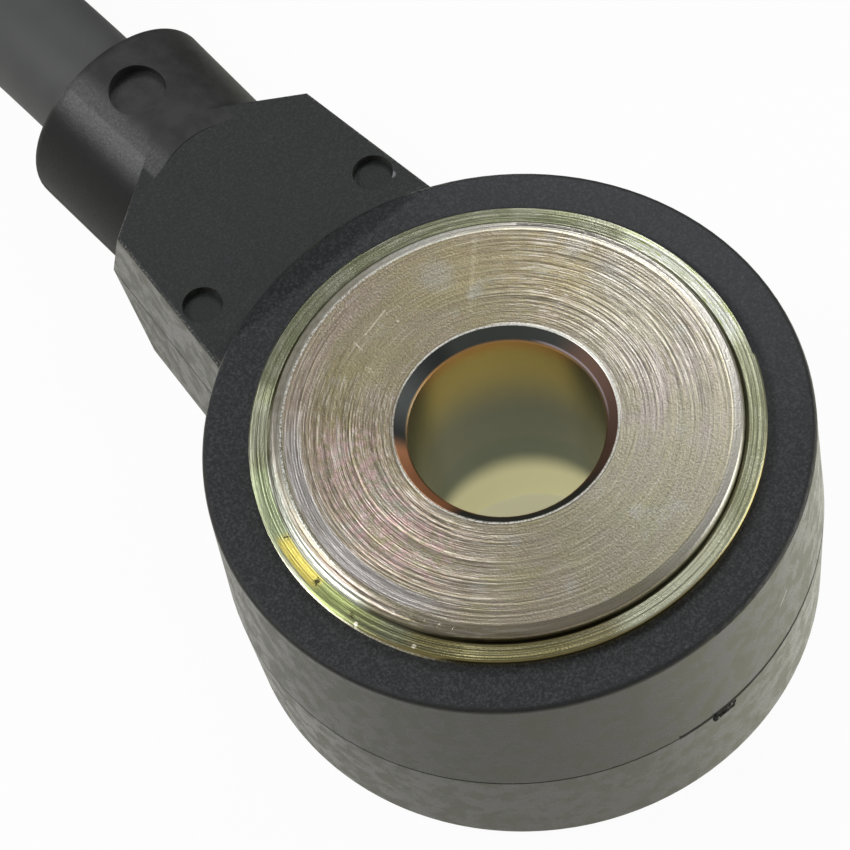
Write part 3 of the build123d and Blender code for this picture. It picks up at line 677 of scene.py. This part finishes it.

# %% [markdown]
# ## Threads of light and dark in the turning
# Bump alone leaves the rings too even, so thin pale and dark threads follow them too, strongest where the
# face shines: these threads are painted highlights and painted shade. The edge of the face gets its own
# painted lines: highlights on the right, shade and then a pale painted highlight on the left and at the
# back.

# %% Threads and the edge of the face
threads, strands = rings(13.0, 1.0, 0.35), rings(24.0, 1.0, 0.5)
ring_strength = 0.35 + 0.65 * shine
left_side = sector(174, 26, 18)
# Painted shade in the sectors between the two that shine.
painted_shade_sectors = sector(136, 28, 25) + sector(229, 28, 25) + sector(50, 28, 25)
# A painted highlight on the face's edge at the back and on the left, with a dotted line of pale specks.
painted_face_edge_highlight = radius.band(9.74, 0.20, 0.05) * sector(112, 42, 22) * (0.55 * mottle)
dotted_line = radius.band(9.50, 0.03, 0.04) * sector(122, 52, 16) * speckle.between(0.42, 0.56)
painted_face_edge_highlight = (painted_face_edge_highlight + dotted_line).at_most(1.0)
face_colour = steel.paint(
    film_colour,
    (left_side * radius.band(6.8, 1.0, 0.8) * mottle.between(0.42, 0.6), (0.62, 0.42, 0.40)),
    (left_side * radius.band(9.0, 0.28, 0.15) * 0.7, (0.66, 0.65, 0.68)),
    (painted_shade_sectors * 0.30, (0.20, 0.175, 0.12)),
    # Painted highlights and painted shade along the rings, strongest where the face shines.
    (threads.between(0.60, 0.68) * (0.15 + 0.20 * shine), (0.82, 0.77, 0.72)),
    (strands.between(0.55, 0.66) * shine * 0.4, (0.85, 0.78, 0.74)),
    (threads.between(0.38, 0.30) * ring_strength * 0.7, (0.20, 0.165, 0.125)),
    (strands.between(0.44, 0.34) * ring_strength * 0.5, (0.22, 0.18, 0.15)),
    # Painted highlights along the face's edge on the right.
    (radius.between(9.5, 9.6) * sector(0, 70, 30) * 0.6, (0.62, 0.61, 0.57)),
    (radius.band(9.5, 0.015, 0.04) * sector(15, 60, 20), PALE_MARK_AND_HIGHLIGHT),
    # Painted shade along the face's edge on the left.
    (left_side * radius.band(9.48, 0.05, 0.10) * 0.75, (0.15, 0.145, 0.095)),
    (painted_face_edge_highlight, (0.74, 0.75, 0.70)),
)
print("face colours ready")

# %% [markdown]
# ## Rim band
# The band round the face lies one step down and is greener, with a yellow patch and nicks on the left, a
# painted highlight on the right and painted light towards the front. Its outer wall is gold towards the
# front, with a painted highlight along its foot.

# %% Colours of the rim
band_patches = steel.noise(around_patches, 2.4, 2.0, 0.6)
# A painted highlight on the band's right side.
painted_rim_highlight = sector(0, 13, 9) * radius.band(10.40, 0.22, 0.14) * threads.between(0.30, 0.38)
yellow_patch = sector(173.5, 5, 4) * radius.band(10.5, 0.22, 0.12)
nicks = spot(-10.06, 2.45, 0.03, 0.1, 0.7)
nicks = nicks + spot(-10.45, -0.04, 0.08, 0.1, 0.7) + spot(-10.4, -2.3, 0.02, 0.08, 0.7)
band_wall = radius.between(10.86, 10.90)
# A painted highlight along the foot of the band's outer wall, with pale specks.
wall_foot = band_wall * z.between(6.32, 6.20) * (0.25 + 1.2 * speckle.between(0.46, 0.58))
wall_foot = wall_foot + spot(-10.53, -2.66, 0.05, 0.06) + spot(-9.46, -5.11, 0.05, 0.08)
band_colour = steel.paint(
    (0.26, 0.275, 0.17),
    (band_patches.between(0.4, 0.6), (0.36, 0.37, 0.27)),
    (sector(158, 7, 6) * 0.7, (0.42, 0.49, 0.29)),
    # Painted light on the band towards the front.
    (sector(-92, 16, 12) * 0.8, (0.66, 0.67, 0.50)),
    (sector(-45, 25, 16) * 0.3, (0.62, 0.63, 0.40)),
    # A painted highlight on the band's right side.
    (sector(0, 15, 9) * 0.7, (0.80, 0.82, 0.66)),
    (painted_rim_highlight, (0.92, 0.94, 0.84)),
    (sector(0, 15, 9) * strands.between(0.56, 0.62), (0.42, 0.50, 0.12)),
    (sector(189, 7, 5) * 0.8, (0.36, 0.42, 0.15)),
    (sector(204, 8, 7) * 0.7, (0.17, 0.175, 0.10)),
    (sector(231, 20, 8) * 0.8, (0.25, 0.215, 0.09)),
    (yellow_patch, (0.80, 0.68, 0.17)),
    (fine_rings.between(0.50, 0.62) * 0.5, (0.15, 0.15, 0.10)),
    (nicks, (0.08, 0.07, 0.03)),
    (band_wall * sector(-105, 45, 20), (0.40, 0.33, 0.13)),
    (wall_foot.at_most(1.0), PALE_MARK_AND_HIGHLIGHT),
)
print("rim colours ready")

# %% [markdown]
# ## Bore and its mouth
# The chamfer at the bore's mouth is painted with what it mirrors on each side, as painted reflections:
# orange on the left, near black at the back and brown on the right. The bore itself goes from brass colour
# at its mouth to grey green, with painted shade at its sides, and its lower end is painted pale cream, as
# painted light from the paper below.

# %% Colours of the bore
# Painted shade at the two sides of the bore.
bore_sides = sector(145, 25, 25) + sector(-30, 25, 25)
# Painted reflections on the chamfer at the bore's mouth.
mouth_colour = steel.paint(
    (0.12, 0.13, 0.12),
    (sector(172, 20, 14), (0.95, 0.46, 0.24)),
    (sector(115, 25, 14), (0.060, 0.066, 0.063)),
    (sector(-32, 30, 26), (0.28, 0.175, 0.135)),
    (radius.band(4.30, 0.02, 0.03) * sector(-2, 25, 14), (0.60, 0.50, 0.53)),
)
# A painted highlight round the outer edge of the bore's mouth.
painted_mouth_highlight = radius.band(4.76, 0.03, 0.03) * (0.30 + 0.6 * sector(35, 65, 20) + 0.35 * sector(-120, 60, 30))
painted_mouth_highlight = painted_mouth_highlight + radius.band(4.80, 0.05, 0.03) * sector(8, 30, 25)
painted_mouth_highlight = (painted_mouth_highlight * (0.4 + speckle.between(0.40, 0.55))).at_most(1.0)
bore_colour = steel.paint(
    (0.22, 0.235, 0.235),
    (z.between(0.5, 5.6), (0.58, 0.46, 0.19)),
    (z.between(5.4, 6.5) * 0.8, (0.70, 0.36, 0.13)),
    (z.band(-2.7, 0.5, 0.9) * 0.6, (0.18, 0.215, 0.22)),
    (bore_sides * 0.7, (0.12, 0.125, 0.09)),
    # The bore's lower end is painted pale cream, as painted light from the paper below.
    (z.between(-2.9, -4.9), (0.97, 0.95, 0.82)),
)
print("bore colours ready")

# %% [markdown]
# ## The whole bush
# Now the stretches are laid over each other from the face inwards and outwards: the rim band, the painted
# shade at the foot of the step, the painted highlight on the step on the left, the bore's mouth and the
# bore. On the far side the moulding laps a tenth of a millimetre over the rim, which is black and not
# metal. The painted highlights on the rim, on the face's edge and round the bore's mouth are less metallic,
# so that their pale colour shows bright under any lamp.

# %% Bush finish
band = radius.between(9.98, 10.02)
# Painted shade at the foot of the step.
land_foot = radius.band(10.07, 0.05, 0.05)
# A painted highlight on the step on the left.
painted_step_highlight = radius.band(10.0, 0.14, 0.05) * sector(170, 18, 8)
mouth = radius.between(4.74, 4.70)
bore = radius.between(4.30, 4.22)
lap = radius.between(10.80, 10.82) * sector(30, 54, 1.0) * z.between(5.9, 6.0)
bush_colour = steel.paint(
    face_colour,
    (band, band_colour),
    (land_foot * 0.7, (0.12, 0.11, 0.07)),
    (painted_step_highlight * 0.9, (0.82, 0.84, 0.72)),
    (hair_rings.between(0.50, 0.60) * painted_step_highlight, (0.14, 0.13, 0.08)),
    (mouth, mouth_colour),
    (painted_mouth_highlight, (0.95, 0.94, 0.86)),
    (bore, bore_colour),
    (lap, (0.018, 0.02, 0.021)),
)
band_grooves = rings(11.0, 1.0, 0.08) * 0.032 * band
relief = ring_height * on_top + band_grooves + worn_edge + worn_step + burr
steel.set(
    base_color=bush_colour,
    metallic=1 - lap - 0.8 * painted_mouth_highlight - 0.75 * painted_rim_highlight - 0.7 * painted_face_edge_highlight,
    roughness=0.25 + 0.10 * mottle + 0.08 * bore + 0.2 * lap + 0.15 * (mouth - bore),
    normal=steel.bump(relief, 1.0),
)
steel.put_on("bush")
print("bush finish set")

# %% [markdown]
# ## Cable rubber
# The jacket is a matt rubber, a little lighter than the housing and almost without pattern.

# %% Cable finish
rubber = Finish("cable_rubber")
place = rubber.millimetres()
rubber_grain = rubber.noise(place, 6.0, 3.0, 0.6)
rubber_cloud = rubber.noise(place, 0.4, 2.0, 0.5)
rubber.set(
    base_color=rubber.mix(rubber_cloud, (0.074, 0.075, 0.076), (0.098, 0.099, 0.100)),
    roughness=0.55 + 0.1 * rubber_grain,
    normal=rubber.bump(rubber_grain * 0.01, 0.5),
)
rubber.put_on("cable")
print("cable finish set")

# %% [markdown]
# ## Plug and inner pieces
# The plug is past the edge of the photograph, and the inner pieces are sealed in, but each still gets
# the finish of its own material: two close colours in a fine grain, and a bump of the same grain.


# %% Plain finishes
def simple_finish(name, colours, scale, roughness, metallic, height_mm, *pieces):
    """A finish of a dark and a pale colour with a fine grain."""
    finish = Finish(name)
    pattern = finish.noise(finish.millimetres(), scale, 3.0, 0.6)
    finish.set(
        base_color=finish.mix(pattern, *colours),
        roughness=roughness + 0.12 * pattern,
        metallic=metallic,
        normal=finish.bump(pattern * height_mm, 0.6),
    )
    finish.put_on(*pieces)


plug_black = ((0.028, 0.028, 0.029), (0.045, 0.045, 0.046))
simple_finish("connector_plastic", plug_black, 8.0, 0.42, 0.0, 0.02, "connector_cap", "plug_body")
retainer_grey = ((0.22, 0.22, 0.23), (0.27, 0.27, 0.28))
simple_finish("retainer_plastic", retainer_grey, 6.0, 0.4, 0.0, 0.01, "terminal_retainer")
seal_red = ((0.4, 0.11, 0.05), (0.5, 0.15, 0.07))
seals = ("face_seal", "wire_seal_left", "wire_seal_right")
simple_finish("seal_rubber", seal_red, 5.0, 0.55, 0.0, 0.01, *seals)
tin = ((0.66, 0.64, 0.59), (0.78, 0.76, 0.70))
stampings = ("terminal_left", "terminal_right", "upper_contact", "lower_contact")
simple_finish("tinned_brass", tin, 3.0, 0.25, 1.0, 0.004, *stampings)
copper = ((0.72, 0.40, 0.25), (0.85, 0.50, 0.33))
bare_wires = ("conductor_left", "conductor_right", "plug_strands_left", "plug_strands_right")
simple_finish("copper_strands", copper, 6.0, 0.3, 1.0, 0.01, *bare_wires)
core_grey = ((0.32, 0.32, 0.33), (0.37, 0.37, 0.38))
cores = ("core_insulation_left", "core_insulation_right", "plug_wire_left", "plug_wire_right")
simple_finish("core_insulation", core_grey, 4.0, 0.45, 0.0, 0.005, *cores)
bare_steel = ((0.48, 0.48, 0.49), (0.60, 0.60, 0.61))
stack = ("seismic_mass", "disc_spring", "ring_nut")
simple_finish("plain_steel", bare_steel, 2.0, 0.32, 1.0, 0.006, *stack)
film_amber = ((0.74, 0.54, 0.26), (0.82, 0.62, 0.32))
films = ("insulating_sleeve", "upper_insulator", "lower_insulator")
simple_finish("insulating_film", film_amber, 1.5, 0.35, 0.0, 0.002, *films)
ceramic_cream = ((0.60, 0.56, 0.47), (0.68, 0.64, 0.54))
simple_finish("piezo_ceramic", ceramic_cream, 3.0, 0.5, 0.0, 0.004, "piezo_ring")
resistor_dark = ((0.09, 0.09, 0.10), (0.14, 0.14, 0.15))
simple_finish("resistor_ceramic", resistor_dark, 5.0, 0.3, 0.0, 0.004, "discharge_resistor")
print("materials:", len(bpy.data.materials))
